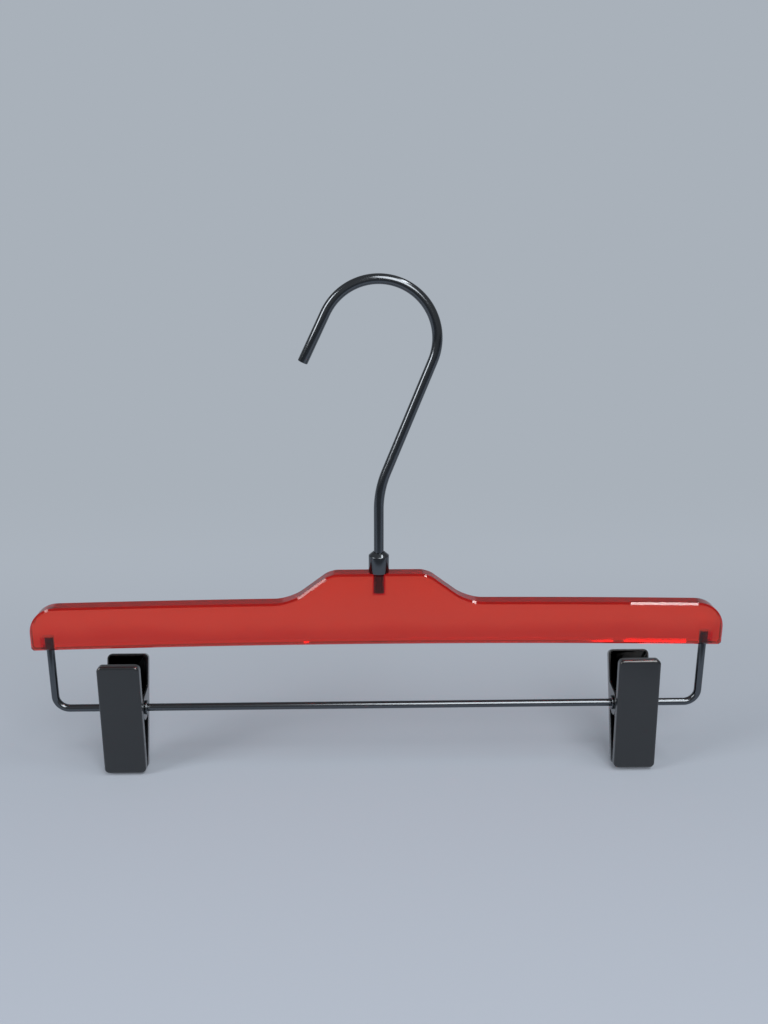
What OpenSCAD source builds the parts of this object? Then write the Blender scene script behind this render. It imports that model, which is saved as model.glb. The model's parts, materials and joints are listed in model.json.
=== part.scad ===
// Trouser hanger with a clear plate body, a swivelling wire hook and two sprung clips on a wire bar.
// Origin: the seat under the top of the hook, where the hanger rests on a rail.
// +X runs along the hanger, +Y towards its back, +Z up.

/* [Hanger body] */
// Overall width of the body
body_w = 300; // [285:5:360]
// Thickness of the body plate
body_t = 7.5; // [7:0.5:10]
// Height of each arm
arm_h = 19.4; // [17:0.1:24]
// How far the ends of the arms lie below their middle
arm_drop = 1.7; // [0.5:0.1:3]
// Height of the hump above the arms
hump_h = 13; // [11:0.5:16]
// Width of the hump's flat top
hump_w = 35; // [28:1:44]
// Slope of the hump's sides from level, in degrees
hump_slope = 36.7; // [32:0.1:44]
// Radius of the hump's two shoulders
shoulder_r = 10; // [6:0.5:12]
// Radius at the foot of the hump's sides
foot_r = 20; // [14:1:22]
// Radius of the upper outer corners
end_r = 11.5; // [7:0.5:14]

/* [Hook] */
// Diameter of the hook wire
wire_d = 4.2; // [3.2:0.1:4.4]
// Radius of the hook's curve at the middle of the wire
hook_r = 23.5; // [20:0.5:26]
// Lean of the straight neck from upright, in degrees
neck_lean = 22; // [21:0.2:28]
// Radius of the bend under the neck at the middle of the wire
neck_bend_r = 43; // [12:1:50]
// Length of the straight end beyond the curve
tip_l = 21.5; // [12:0.5:24]
// Lean of the straight end from upright, in degrees
tip_lean = 25.8; // [18:0.2:32]
// Height from the seat under the hook down to the top of the body
hook_h = 120.3; // [116:0.1:150]

/* [Swivel] */
// Diameter of the collar
collar_d = 8.7; // [8.2:0.1:9.4]
// Height of the collar
collar_h = 9; // [8.5:0.5:12]
// Height of the bevel around the collar's top
collar_bevel_h = 1.5; // [1:0.1:2]
// Diameter of the collar's flat top
collar_top_d = 5.2; // [4.8:0.1:5.8]
// Thickness of the collar's floor under the end of the hook
collar_floor = 2; // [1.5:0.1:2.4]
// Height of the ring groove's middle above the end of the hook
ring_z = 2.6; // [2.2:0.1:3]
// Thickness of the retaining ring
ring_t = 0.8; // [0.6:0.1:1]
// Outer diameter of the retaining ring
ring_d = 5.3; // [5:0.1:5.8]
// Depth of the ring groove in the hook wire
ring_groove = 0.4; // [0.3:0.05:0.5]
// Width of the slit in the retaining ring
ring_slit = 1; // [0.8:0.1:1.4]
// Diameter of the insert in the body
insert_d = 4.8; // [4.6:0.1:5.2]
// Length of the insert in the body
insert_l = 9; // [8:0.5:12]
// Diameter of the collar's spigot in the insert
spigot_d = 3; // [2.6:0.1:3.2]
// Length of the collar's spigot
spigot_l = 6; // [4:0.5:7]

/* [Clip bar] */
// Diameter of the bar wire
bar_d = 3.3; // [2.8:0.1:3.4]
// Radius of the bar's corners at the middle of the wire
bar_bend_r = 6; // [5:0.5:9]
// Distance of each leg from the end of the body
leg_inset = 7.2; // [6:0.1:9]
// Diameter of the bushes that hold the legs
bush_d = 5; // [4.6:0.1:5.4]
// Length of the bushes
bush_l = 6; // [5:0.5:9]

/* [Clip jaws] */
// Distance of the left clip from the left leg of the bar
left_clip_inset = 30.1; // [27:0.1:60]
// Distance of the right clip from the right leg of the bar
right_clip_inset = 28.7; // [27:0.1:60]
// Lean of the left clip from hanging straight, with its top to the back, in degrees
left_clip_lean = 9.8; // [0:0.1:20]
// Lean of the right clip
right_clip_lean = 12.4; // [0:0.1:20]
// Width of a jaw
jaw_w = 18.3; // [17:0.1:22]
// Length of a jaw above its pivot
jaw_upper_l = 23.2; // [21:0.2:26]
// Length of a jaw below its pivot
jaw_lower_l = 28.2; // [27:0.2:32]
// Distance from the pivot to a jaw's outer face
jaw_reach = 8.5; // [7.9:0.1:9]
// Depth of a jaw from its face to the edge of its rim
rim_h = 3.5; // [3.2:0.1:3.8]
// Thickness of the jaw sheet
sheet_t = 0.8; // [0.7:0.05:0.9]
// Radius of a jaw's corners in its face
jaw_corner_r = 2.2; // [1.6:0.1:3]
// Outer radius of the bend between face and rim
jaw_bend_r = 1; // [0.9:0.05:1.3]
// Gap between the lower rims with the clip closed
tip_gap = 0.9; // [0.7:0.1:1.2]
// Radius of the round ears at the pivot
ear_r = 5.5; // [5:0.1:5.8]
// Height above the pivot where an ear leaves its jaw
ear_flare = 9; // [8:0.2:12]

/* [Clip pivot] */
// Outer diameter of the tubular rivet that the bar runs through
rivet_d = 4.6; // [4.5:0.05:4.8]
// Diameter of the rivet's rolled rims
rivet_rim_d = 6.2; // [5.8:0.1:7]
// Thickness of the rivet's rolled rims
rivet_rim_t = 0.9; // [0.4:0.05:1.2]

/* [Clip spring] */
// Diameter of the spring wire
spring_d = 1.1; // [0.9:0.05:1.2]
// Radius of the coil at the middle of the wire
spring_r = 3.4; // [3.3:0.05:3.7]
// Pitch of the coil
spring_pitch = 1.7; // [1.65:0.05:1.9]
// Number of whole turns between the legs
spring_turns = 5; // [3:1:6]
// Height above the pivot where the legs meet the jaws
spring_leg_z = 13; // [10:0.5:15]

/* [Grip pads] */
// Height of a grip pad
pad_l = 10; // [7:0.5:11]
// Number of ridges across a pad
pad_ridges = 5; // [3:1:7]
// Depth of the valleys between the ridges
pad_valley = 0.5; // [0.3:0.05:0.7]

/* [Clearances] */
// Radial clearance of the turning and sliding fits
run_gap = 0.05; // [0.03:0.01:0.08]
// Gap between a fixed insert or bush and its hole
seat_gap = 0.02; // [0.01:0.01:0.04]
// Gap beside ears, rims and the retaining ring
side_gap = 0.15; // [0.1:0.01:0.2]
// Gap between the ends of a turning clip and the body
swing_gap = 0.3; // [0.25:0.05:1]

/* [Hidden] */
$fn = 64;
// Steps of the long curves and the rounded corners of the body's outline
ARC_STEPS = 12;
CORNER_STEPS = 8;
// Rings in one turn of the spring, and sides of its wire
COIL_RINGS = 8;
WIRE_SIDES = 6;
// Cuts run past the faces that they open by this much
past = 1;
// A solid that joins another by its face reaches into it by this much
bite = 0.2;
// An edge that runs out along a round side dips inside it by this much, so that the two cross
dip = 0.02;
// The balls between the hook's stretches of wire stand proud of it, and cover their ends, by this much
joint_proud = 0.02;
joint_short = 0.1;

wire_r = wire_d / 2;
bar_r = bar_d / 2;
leg_x = body_w / 2 - leg_inset;

// Heights of the body
hump_z = -hook_h;
arm_z = hump_z - hump_h;
under_z = arm_z - arm_h;

// How far the arms have dropped at a distance x from the middle
function drop(x) = arm_drop * pow(2 * x / body_w, 2);

// The bar lies so low that the lower ends of a turning clip just clear the body, also at the end of the clip's travel
clip_reach = norm([jaw_reach - jaw_bend_r, jaw_lower_l - jaw_bend_r]) + jaw_bend_r;
travel_end = leg_x - bar_bend_r - run_gap - rivet_rim_t;
bar_z = under_z - drop(travel_end) - clip_reach - swing_gap;

// The hook's curve, and where the neck's line meets the stem
curve_z = wire_r - hook_r;
neck_foot_z = curve_z - hook_r / sin(neck_lean);
neck_run = neck_bend_r * tan(neck_lean / 2);
neck_l = hook_r / tan(neck_lean) - neck_run;
stem_end_z = hump_z + collar_floor + side_gap;
ring_mid_z = stem_end_z + ring_z;

// Each closed jaw leans so far that the lower rims keep their gap
rim_in = jaw_reach - rim_h;
jaw_lean = atan(rim_in / jaw_lower_l) - asin(tip_gap / 2 / norm([rim_in, jaw_lower_l]));
face_in = jaw_reach - sheet_t;
inner_ear_r = ear_r - side_gap;
inner_ear_x = jaw_w / 2 - 2 * sheet_t - side_gap;
pivot_hole_r = rivet_d / 2 + run_gap;

STEEL = "#3a3f45";
DARK_STEEL = "#2c3036";
SPRING_STEEL = "#8d9196";
BRASS = "#a08a5a";
RUBBER = "#26272a";
CLEAR_RED = "#c0392f";

// Points on an arc about a centre, from one angle to another
function arc(centre, r, from, to, steps) =
    [for (i = [0:steps]) let (a = from + (to - from) * i / steps) centre + r * [cos(a), sin(a)]];

// Right half of the body's outline, from the middle of the underside to the middle of the hump
function half_outline() =
    let (
        corner_x = body_w / 2 - end_r,
        turn = [sin(hump_slope), 1 - cos(hump_slope)],
        shoulder_x = hump_w / 2,
        side_h = hump_h - (shoulder_r + foot_r) * turn[1],
        foot_x = shoulder_x + (shoulder_r + foot_r) * turn[0] + side_h / tan(hump_slope)
    )
    concat(
        [for (i = [0:ARC_STEPS]) let (x = body_w / 2 * i / ARC_STEPS) [x, under_z - drop(x)]],
        arc([corner_x, arm_z - drop(corner_x) - end_r], end_r, 0, 90, CORNER_STEPS),
        [for (i = [1:ARC_STEPS - 1]) let (x = corner_x + (foot_x - corner_x) * i / ARC_STEPS) [x, arm_z - drop(x)]],
        arc([foot_x, arm_z - drop(foot_x) + foot_r], foot_r, -90, -90 - hump_slope, CORNER_STEPS),
        arc([shoulder_x, hump_z - shoulder_r], shoulder_r, 90 - hump_slope, 90, CORNER_STEPS)
    );

// The same points mirrored to the left, without the one on the middle line
function mirrored(half) = [for (i = [len(half) - 1:-1:1]) [-half[i][0], half[i][1]]];

// A flat shape drawn in X and Z, given a thickness along Y about the middle plane
module upright(thickness) {
    translate([0, thickness / 2, 0]) rotate([90, 0, 0]) linear_extrude(thickness) children();
}

// A flat shape drawn in Y and Z, from x to x plus a thickness
module sideways(x, thickness) {
    translate([x, 0, 0]) rotate([90, 0, 90]) linear_extrude(thickness) children();
}

// A round bar along X
module along_x(r, l) {
    rotate([0, 90, 0]) cylinder(r=r, h=l, center=true);
}

module hanger_body() {
    color(CLEAR_RED, 0.8) difference() {
        upright(body_t) polygon(concat(half_outline(), mirrored(half_outline())));
        translate([0, 0, hump_z - insert_l - seat_gap]) cylinder(d=insert_d + 2 * seat_gap, h=insert_l + past);
        for (side = [-1, 1]) {
            translate([side * leg_x, 0, under_z - drop(leg_x) - past])
                cylinder(d=bush_d + 2 * seat_gap, h=bush_l + past + seat_gap);
        }
    }
}

// A stretch of wire bent about the Y axis, drawn about its centre of bend
module wire_bend(r, wire, from, to) {
    rotate([90, 0, 0]) rotate([0, 0, from]) rotate_extrude(angle=to - from) translate([r, 0]) circle(d=wire);
}

// A straight wire from one joint to the next, stopping just short of the middle of each joint's ball
module straight_wire(l) {
    translate([0, 0, joint_short]) cylinder(d=wire_d, h=l - 2 * joint_short);
}

// Joins a straight wire to a bend
module joint_ball() {
    sphere(r=wire_r + joint_proud);
}

module hook() {
    stem_l = neck_foot_z - neck_run - stem_end_z;
    color(STEEL) {
        translate([0, 0, stem_end_z]) difference() {
            cylinder(d=wire_d, h=stem_l - joint_short);
            translate([0, 0, ring_z - ring_t / 2 - run_gap]) difference() {
                cylinder(d=wire_d + past, h=ring_t + 2 * run_gap);
                translate([0, 0, -past]) cylinder(d=wire_d - 2 * ring_groove, h=ring_t + 2 * past);
            }
        }
        translate([0, 0, stem_end_z + stem_l]) joint_ball();
        translate([neck_bend_r, 0, stem_end_z + stem_l]) wire_bend(neck_bend_r, wire_d, 180 - neck_lean, 180);
        translate([0, 0, neck_foot_z]) rotate([0, neck_lean, 0]) {
            translate([0, 0, neck_run]) joint_ball();
            translate([0, 0, neck_run]) straight_wire(neck_l);
            translate([0, 0, neck_run + neck_l]) joint_ball();
        }
        translate([0, 0, curve_z]) {
            wire_bend(hook_r, wire_d, -neck_lean, 180 - tip_lean);
            rotate([0, tip_lean, 0]) translate([-hook_r, 0, 0]) {
                joint_ball();
                translate([0, 0, -tip_l]) cylinder(d=wire_d, h=tip_l - joint_short);
            }
        }
    }
}

module hook_ring() {
    color(SPRING_STEEL) translate([0, 0, ring_mid_z - ring_t / 2]) difference() {
        cylinder(d=ring_d, h=ring_t);
        translate([0, 0, -past]) cylinder(d=wire_d - 2 * ring_groove + 2 * seat_gap, h=ring_t + 2 * past);
        translate([0, -ring_slit / 2, -past]) cube([ring_d, ring_slit, ring_t + 2 * past]);
    }
}

module hook_collar() {
    color(DARK_STEEL) translate([0, 0, hump_z]) {
        difference() {
            rotate_extrude() polygon([
                [0, 0], [collar_d / 2, 0], [collar_d / 2, collar_h - collar_bevel_h],
                [collar_top_d / 2, collar_h], [0, collar_h]
            ]);
            translate([0, 0, collar_floor]) cylinder(r=wire_r + run_gap, h=collar_h);
            translate([0, 0, ring_mid_z - hump_z - ring_t / 2 - run_gap])
                cylinder(d=ring_d + 2 * side_gap, h=ring_t + 2 * run_gap);
        }
        translate([0, 0, -spigot_l]) cylinder(d=spigot_d, h=spigot_l + bite);
    }
}

module hook_insert() {
    waist_l = insert_l / 8;
    waist_cut = insert_d / 12;
    color(BRASS) translate([0, 0, hump_z - insert_l]) difference() {
        cylinder(d=insert_d, h=insert_l);
        translate([0, 0, insert_l - spigot_l - past]) cylinder(d=spigot_d + 2 * seat_gap, h=spigot_l + 2 * past);
        translate([0, 0, (insert_l - waist_l) / 2]) difference() {
            cylinder(d=insert_d + past, h=waist_l);
            translate([0, 0, -past]) cylinder(d=insert_d - 2 * waist_cut, h=waist_l + 2 * past);
        }
    }
}

module clip_bar() {
    leg_top_z = under_z - drop(leg_x) + bush_l;
    color(STEEL) {
        translate([0, 0, bar_z]) along_x(bar_r, 2 * (leg_x - bar_bend_r));
        for (side = [-1, 1]) {
            translate([side * leg_x, 0, bar_z + bar_bend_r]) cylinder(r=bar_r, h=leg_top_z - bar_z - bar_bend_r);
            translate([side * (leg_x - bar_bend_r), 0, bar_z + bar_bend_r])
                wire_bend(bar_bend_r, bar_d, side > 0 ? -90 : 180, side > 0 ? 0 : 270);
        }
    }
}

module bar_bush(side) {
    color(DARK_STEEL) translate([side * leg_x, 0, under_z - drop(leg_x)]) difference() {
        cylinder(d=bush_d, h=bush_l);
        translate([0, 0, -past]) cylinder(r=bar_r + seat_gap, h=bush_l + 2 * past);
    }
}

module left_bar_bush() { bar_bush(-1); }
module right_bar_bush() { bar_bush(1); }

// Places a clip drawn about its pivot on the bar, on the left for -1 and on the right for 1
module at_clip(side) {
    inset = side < 0 ? left_clip_inset : right_clip_inset;
    lean = side < 0 ? left_clip_lean : right_clip_lean;
    translate([side * (leg_x - inset), 0, bar_z]) rotate([-lean, 0, 0]) children();
}

// A rectangle with all corners rounded, from one corner to the other
module round_rect(from, to, r) {
    size = to - from;
    translate(from + [r, 0]) square([size[0] - 2 * r, size[1]]);
    translate(from + [0, r]) square([size[0], size[1] - 2 * r]);
    for (x = [from[0] + r, to[0] - r], y = [from[1] + r, to[1] - r]) translate([x, y]) circle(r);
}

// A block with a rounded face at -Y, brought in all round by a wall
module jaw_block(wall, depth) {
    half_w = jaw_w / 2 - wall;
    low = wall - jaw_lower_l;
    high = jaw_upper_l - wall;
    face = wall - jaw_reach;
    back = depth - jaw_reach;
    bend = jaw_bend_r - wall;
    intersection() {
        translate([0, back, 0]) rotate([90, 0, 0]) linear_extrude(back - face)
            round_rect([-half_w, low], [half_w, high], jaw_corner_r - wall);
        sideways(-half_w, 2 * half_w) round_rect([face, low], [back + jaw_corner_r, high], bend);
        translate([0, 0, low]) linear_extrude(high - low)
            round_rect([-half_w, face], [half_w, back + jaw_corner_r], bend);
    }
}

// A pressed tray, open at the back
module jaw_tray() {
    difference() {
        jaw_block(0, rim_h);
        jaw_block(sheet_t, rim_h + past);
    }
}

// Outline of an ear in Y and Z: a disc about the pivot, joined to the rim or face at a depth
function tangent_on(p, r) = let (a = atan2(p[1], p[0]), b = acos(r / norm(p))) r * [cos(a - b), sin(a - b)];

module ear_outline(r, depth, high, low) {
    top = [-depth, high];
    bottom = [-depth, low];
    circle(r);
    polygon([bottom, top, tangent_on(top, r - dip), [0, 0]]);
}

module pivot_hole() {
    along_x(pivot_hole_r, jaw_w + 2 * past);
}

// Jaw with its ears in line with its rims, drawn upright about the pivot
module outer_ear_jaw() {
    difference() {
        union() {
            jaw_tray();
            for (x = [-jaw_w / 2, jaw_w / 2 - sheet_t])
                sideways(x, sheet_t) ear_outline(ear_r, rim_in + bite, ear_flare, 0);
        }
        pivot_hole();
    }
}

// Jaw with its ears inside the other jaw's, and its rims cut clear of them
module inner_ear_jaw() {
    difference() {
        union() {
            difference() {
                jaw_tray();
                along_x(ear_r + 2 * side_gap, jaw_w + past);
            }
            for (x = [-inner_ear_x - sheet_t, inner_ear_x])
                sideways(x, sheet_t) ear_outline(inner_ear_r, face_in + bite, ear_flare, -ear_flare);
        }
        pivot_hole();
    }
}

module front_jaw() {
    color(STEEL) rotate([jaw_lean, 0, 0]) inner_ear_jaw();
}

module back_jaw() {
    color(DARK_STEEL) rotate([-jaw_lean, 0, 0]) mirror([0, 1, 0]) outer_ear_jaw();
}

module pivot_rivet() {
    half = jaw_w / 2 + run_gap;
    color(SPRING_STEEL) difference() {
        union() {
            along_x(rivet_d / 2, 2 * half + rivet_rim_t);
            for (side = [-1, 1]) translate([side * (half + rivet_rim_t / 2), 0, 0]) along_x(rivet_rim_d / 2, rivet_rim_t);
        }
        along_x(bar_r + run_gap, jaw_w + 4 * past);
    }
}

// Spring wire: a foot square to the front jaw, a leg down to the coil, the coil, and the same up the back
leg_d = 1.8 * spring_d;
foot_end = [sheet_t - jaw_reach, spring_leg_z];
foot_turn = [sheet_t - jaw_reach + leg_d, spring_leg_z];

// Turns a front point in Y and Z with the closed front jaw
function leaned(p) = [p[0] * cos(jaw_lean) - p[1] * sin(jaw_lean), p[0] * sin(jaw_lean) + p[1] * cos(jaw_lean)];

front_turn = leaned(foot_turn);
coil_start = atan2(front_turn[1], front_turn[0]) + acos(spring_r / norm(front_turn));
coil_sweep = 360 * spring_turns + 180 - 2 * coil_start;
coil_l = spring_pitch * coil_sweep / 360;

function coil_point(a) =
    [spring_pitch * a / 360 - coil_l / 2, spring_r * cos(coil_start + a), spring_r * sin(coil_start + a)];

// A bend from a to b around a corner c, without a and b
function bend_points(a, c, b) = [for (t = [0.25, 0.5, 0.75]) (1 - t) * (1 - t) * a + 2 * t * (1 - t) * c + t * t * b];

function front_leg() =
    let (
        x = -coil_l / 2,
        end = leaned(foot_end),
        corner = [x, front_turn[0], front_turn[1]],
        start = coil_point(0),
        down = (start - corner) / norm(start - corner),
        first = [x, end[0], end[1]],
        inward = (corner - first) / norm(corner - first),
        bend_from = first + spring_d * inward,
        bend_to = corner + (leg_d - spring_d) * down
    )
    concat([first, bend_from], bend_points(bend_from, corner, bend_to), [bend_to, (bend_to + start) / 2]);

function back_leg() = let (front = front_leg()) [for (i = [len(front) - 1:-1:0]) [-front[i][0], -front[i][1], front[i][2]]];

coil_steps = round(coil_sweep * COIL_RINGS / 360);
spring_path = concat(front_leg(), [for (i = [0:coil_steps]) coil_point(coil_sweep * i / coil_steps)], back_leg());

function unit(v) = v / norm(v);
function direction(path, i) = unit(path[min(i + 1, len(path) - 1)] - path[max(i - 1, 0)]);

// A round wire through the points of a path, as rings joined by triangles
module swept_wire(path, d) {
    points = [
        for (i = [0:len(path) - 1])
            let (t = direction(path, i), u = unit(cross(t, [1, 0, 0])), w = cross(u, t))
                for (k = [0:WIRE_SIDES - 1])
                    let (a = 360 * k / WIRE_SIDES) path[i] + d / 2 * (cos(a) * u + sin(a) * w)
    ];
    last = len(points) - WIRE_SIDES;
    sides = [
        for (i = [0:len(path) - 2], k = [0:WIRE_SIDES - 1], half = [0, 1])
            let (a = i * WIRE_SIDES + k, b = i * WIRE_SIDES + (k + 1) % WIRE_SIDES)
                half == 0 ? [a, b, b + WIRE_SIDES] : [a, b + WIRE_SIDES, a + WIRE_SIDES]
    ];
    caps = [for (k = [1:WIRE_SIDES - 2], end = [0, 1]) end == 0 ? [0, k + 1, k] : [last, last + k, last + k + 1]];
    polyhedron(points, concat(sides, caps));
}

// The least gap of the coil to itself, from points that are closer together than its rings
FINE = 48;
fine_coil = [for (i = [0:floor(coil_sweep * FINE / 360)]) coil_point(360 * i / FINE)];
coil_gap = min([
    for (i = [0:len(fine_coil) - 1], j = [i + FINE / 2:1:min(len(fine_coil) - 1, i + 2 * FINE)])
        norm(fine_coil[i] - fine_coil[j])
]) - spring_d;
echo(str("least gap of the spring to itself, mm: ", coil_gap));

module clip_spring() {
    color(SPRING_STEEL) swept_wire(spring_path, spring_d);
}

// Ridged pad in the front jaw's lower end, with its ridges on the clip's middle plane
module front_pad() {
    wall = sheet_t + side_gap;
    half_w = jaw_w / 2 - wall;
    low = wall - jaw_lower_l;
    back = [leaned([-face_in + seat_gap, low + pad_l]), leaned([-face_in + seat_gap, low])];
    lip = leaned([-rim_in, low]);
    step = (back[0][1] - lip[1]) / (2 * pad_ridges);
    grip = [
        for (i = [0:2 * pad_ridges])
            [-run_gap - (i % 2 == 0 ? pad_valley : 0), lip[1] + i * step]
    ];
    color(RUBBER) intersection() {
        sideways(-half_w, 2 * half_w) polygon(concat(back, [lip], grip));
        rotate([jaw_lean, 0, 0]) upright(2 * jaw_reach) round_rect([-half_w, low], [half_w, 0], jaw_corner_r - wall);
    }
}

module back_pad() { mirror([0, 1, 0]) front_pad(); }

module left_front_jaw() { at_clip(-1) front_jaw(); }
module left_back_jaw() { at_clip(-1) back_jaw(); }
module left_pivot_rivet() { at_clip(-1) pivot_rivet(); }
module left_spring() { at_clip(-1) clip_spring(); }
module left_front_pad() { at_clip(-1) front_pad(); }
module left_back_pad() { at_clip(-1) back_pad(); }
module right_front_jaw() { at_clip(1) front_jaw(); }
module right_back_jaw() { at_clip(1) back_jaw(); }
module right_pivot_rivet() { at_clip(1) pivot_rivet(); }
module right_spring() { at_clip(1) clip_spring(); }
module right_front_pad() { at_clip(1) front_pad(); }
module right_back_pad() { at_clip(1) back_pad(); }

hook();
hook_ring();
hook_collar();
hook_insert();
hanger_body();
clip_bar();
left_bar_bush();
right_bar_bush();
left_front_jaw();
left_back_jaw();
left_pivot_rivet();
left_spring();
left_front_pad();
left_back_pad();
right_front_jaw();
right_back_jaw();
right_pivot_rivet();
right_spring();
right_front_pad();
right_back_pad();
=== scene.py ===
"""Trouser hanger: a clear acrylic plate on a wire hook, with two sprung clips on a wire bar."""

import json
import math

import bmesh
import bpy
from bmesh.types import BMEdge, BMVert
from bpy.props import FloatProperty, FloatVectorProperty, IntProperty, PointerProperty
from bpy.types import Operator, Panel, PropertyGroup
from mathutils import Euler, Matrix, Vector


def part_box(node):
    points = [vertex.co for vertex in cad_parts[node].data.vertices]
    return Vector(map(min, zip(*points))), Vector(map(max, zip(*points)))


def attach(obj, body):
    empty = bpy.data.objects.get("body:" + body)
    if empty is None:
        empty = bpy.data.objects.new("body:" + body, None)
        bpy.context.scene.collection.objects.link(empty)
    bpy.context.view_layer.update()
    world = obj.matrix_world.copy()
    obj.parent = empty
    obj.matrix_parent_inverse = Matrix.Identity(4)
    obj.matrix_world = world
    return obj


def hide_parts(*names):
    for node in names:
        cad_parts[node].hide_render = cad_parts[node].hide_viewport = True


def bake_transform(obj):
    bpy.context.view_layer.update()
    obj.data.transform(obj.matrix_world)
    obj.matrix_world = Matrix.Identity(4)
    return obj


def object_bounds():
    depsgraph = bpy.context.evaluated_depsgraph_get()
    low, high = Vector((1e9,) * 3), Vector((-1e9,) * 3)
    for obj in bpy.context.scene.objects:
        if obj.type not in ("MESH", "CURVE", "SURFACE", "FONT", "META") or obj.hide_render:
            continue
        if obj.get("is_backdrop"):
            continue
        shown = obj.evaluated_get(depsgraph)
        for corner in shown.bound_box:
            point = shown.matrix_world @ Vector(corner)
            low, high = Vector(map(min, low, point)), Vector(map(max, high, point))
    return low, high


bl_info = {
    "name": "Trouser hanger",
    "version": (1, 0, 0),
    "blender": (4, 5, 0),
    "location": "View3D > Sidebar > Hanger",
    "description": "Builds a clear trouser hanger with a swivelling hook and two sprung clips",
    "category": "Object",
}

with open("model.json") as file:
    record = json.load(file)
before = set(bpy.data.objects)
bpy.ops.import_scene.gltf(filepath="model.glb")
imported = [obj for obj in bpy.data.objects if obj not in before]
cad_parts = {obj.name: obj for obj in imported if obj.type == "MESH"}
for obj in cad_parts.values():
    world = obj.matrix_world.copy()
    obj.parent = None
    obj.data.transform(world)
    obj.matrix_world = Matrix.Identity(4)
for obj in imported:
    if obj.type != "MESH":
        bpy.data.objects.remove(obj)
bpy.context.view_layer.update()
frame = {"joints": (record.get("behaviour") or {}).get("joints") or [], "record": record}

MM = 0.001
X = Vector((1, 0, 0))
Y = Vector((0, 1, 0))
Z = Vector((0, 0, 1))
SIDES = ("left", "right")
MERGE = 0.002 * MM  # points closer than this are one
OVERCUT = 2 * MM  # how far a cutting shape runs past what it cuts
BOW_STEPS = 50
RING_GROOVE = 0.4 * MM  # depth of the hook's groove for its ring
RING_GRIP = 0.38 * MM  # how far the ring reaches into it
RING_PLAY = 0.05 * MM  # air above and below the ring
BORE_GAP = 0.05 * MM  # air between the hook and the collar's bore
END_GAP = 0.15 * MM  # air below the hook's end and round its ring
SEAT_GAP = 0.02 * MM  # air between two pieces that sit in each other
WAIST_DEPTH = 0.4 * MM  # depth of the groove round the insert
BLIND_END = 1 * MM  # depth of the insert's hole below the spigot
INSERT_EDGE = 0.25 * MM
BUSH_EDGE = 0.2 * MM
EAR_ROOT = 0.2 * MM  # how far an ear is drawn into its jaw
RIVET_EDGE = 0.18 * MM
PAD_EDGE = 0.12 * MM
MIX_A, MIX_B, MIX_RESULT = 6, 7, 2  # colour sockets of a Mix node
SKY, SKY_STRENGTH = "#e4e8ee", 0.29

JOINTS = {joint["name"]: joint for joint in frame["joints"]}
MOUNTS = {mount["name"]: mount for mount in frame["record"]["mounts"]}


def size(name, description, millimetres):
    """A length that a user can change, given in millimetres."""
    return FloatProperty(
        name=name, description=description, default=millimetres * MM, unit="LENGTH", precision=5
    )


def count(name, description, number):
    """A whole number that a user can change."""
    return IntProperty(name=name, description=description, default=number)


def angle(name, description, degrees):
    """An angle that a user can change, given in degrees."""
    return FloatProperty(
        name=name, description=description, default=math.radians(degrees), subtype="ANGLE"
    )


def srgb(code):
    """Linear colour of an sRGB hex value."""
    parts = [int(code[i : i + 2], 16) / 255 for i in (1, 3, 5)]
    return tuple(c / 12.92 if c <= 0.04045 else ((c + 0.055) / 1.055) ** 2.4 for c in parts)


def colour(name, description, code):
    """A colour that a user can change, given as an sRGB hex value."""
    return FloatVectorProperty(
        name=name, description=description, default=srgb(code), subtype="COLOR", size=3, min=0, max=1
    )


class HangerBodySizes(PropertyGroup):
    """The clear plate."""

    hump_width: size("Hump width", "Width of the hump's flat top", 35)
    hump_slope: angle("Hump slope", "Slope of the hump's sides from level", 36.7)
    shoulder: size("Shoulder radius", "Radius of the hump's shoulders", 10)
    foot: size("Foot radius", "Radius at the foot of the hump's sides", 20)
    corner: size("Corner radius", "Radius of the upper outer corners", 11.5)
    hump_height: size("Hump height", "Height of the hump above the arms", 13)
    drop: size("Arm drop", "How far the ends of the arms lie below their middle", 1.7)
    bevel: size("Edge bevel", "Width of the polished bevel round both faces", 0.9)
    hole_gap: size("Hole gap", "Air between an insert or bush and its hole", 0.02)


class HangerWireSizes(PropertyGroup):
    """The hook and the bar."""

    hook_wire: size("Hook wire", "Diameter of the hook wire", 4.2)
    hook_radius: size("Hook radius", "Radius of the hook at the middle of the wire", 23.5)
    neck_lean: angle("Neck lean", "Lean of the straight neck from upright", 22)
    neck_bend: size("Neck bend", "Radius of the bend under the neck", 43)
    tip_length: size("Tip length", "Length of the straight end beyond the curve", 21.5)
    tip_lean: angle("Tip lean", "Lean of the straight end from upright", 25.8)
    bar_wire: size("Bar wire", "Diameter of the bar wire", 3.3)
    bar_bend: size("Bar bend", "Radius of the bar's corners at the middle of the wire", 6)
    cut_bevel: size("Cut bevel", "Small bevel left where a wire is cut", 0.15)


class HangerFittingSizes(PropertyGroup):
    """Collar, insert, ring and bushes."""

    collar_bevel: size("Collar bevel", "Height of the bevel round the collar's top", 1.5)
    collar_top: size("Collar top", "Diameter of the collar's flat top", 5.2)
    turned_edge: size("Turned edge", "Small bevel on turned edges", 0.12)
    spigot: size("Spigot", "Diameter of the collar's spigot", 3)
    spigot_length: size("Spigot length", "Length of the collar's spigot", 6)
    waist: size("Waist", "Height of the groove round the insert's middle", 1.1)
    knurl_depth: size("Knurl depth", "Depth of the grooves between the knurls", 0.16)
    knurls: count("Knurls", "Number of knurls round an insert", 22)
    ring_slit: size("Ring slit", "Width of the slit in the retaining ring", 1)


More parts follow.
